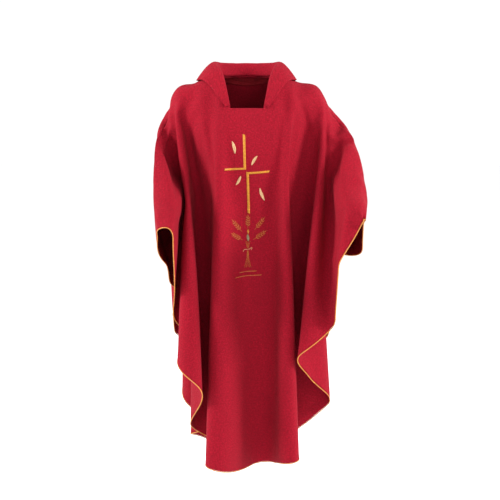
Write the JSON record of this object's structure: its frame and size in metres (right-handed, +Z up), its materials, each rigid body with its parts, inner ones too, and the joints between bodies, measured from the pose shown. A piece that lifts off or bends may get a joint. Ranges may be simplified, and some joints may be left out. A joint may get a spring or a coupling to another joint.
{
  "type": "chasuble",
  "caption": "Loose cloth vestment with front and back panels joined at the shoulders, a square neck opening, a turned-down collar, corded hems and an embroidered cross over a wheat sheaf.",
  "frame": {"origin": "level of the shoulder seams at the neck, on the garment's centre line, where the wearer's shoulders hold it", "axes": "+Z up, the front of the garment faces -Y, +X to the right of someone looking at its front"},
  "size_m": [0.7283, 0.456, 1.3369],
  "materials": {
    "red_cloth": "matte, fine plain weave",
    "facing_cloth": "matte",
    "interlining": "matte, stiffened",
    "gold_cord": "twisted cord, soft sheen",
    "gold_thread": "satin stitch, silky",
    "cream_thread": "satin stitch, silky",
    "sage_thread": "satin stitch, silky"
  },
  "bodies": {
    "root": {"front_panel": "red_cloth", "back_panel": "red_cloth", "front_hem_cord": "gold_cord", "back_hem_cord": "gold_cord", "neck_facing_front": "facing_cloth", "neck_facing_back": "facing_cloth", "seam_tape_left": "facing_cloth", "seam_tape_right": "facing_cloth", "collar_top": "red_cloth", "collar_interlining": "interlining", "collar_under": "red_cloth", "cross_upper": "gold_thread", "cross_lower": "gold_thread", "petal_upper_left": "cream_thread", "petal_lower_left": "cream_thread", "petal_upper_right": "cream_thread", "petal_lower_right": "cream_thread", "wheat_ear_centre": "gold_thread", "wheat_ear_upper_left": "gold_thread", "wheat_ear_upper_right": "gold_thread", "wheat_ear_lower_left": "gold_thread", "wheat_ear_lower_right": "gold_thread", "gold_drop": "gold_thread", "wheat_bud": "sage_thread", "wheat_stalks_upper": "gold_thread", "wheat_tie": "cream_thread", "wheat_stalks_lower": "gold_thread", "ground_line_upper": "gold_thread", "ground_line_lower": "gold_thread"}
  },
  "joints": []
}
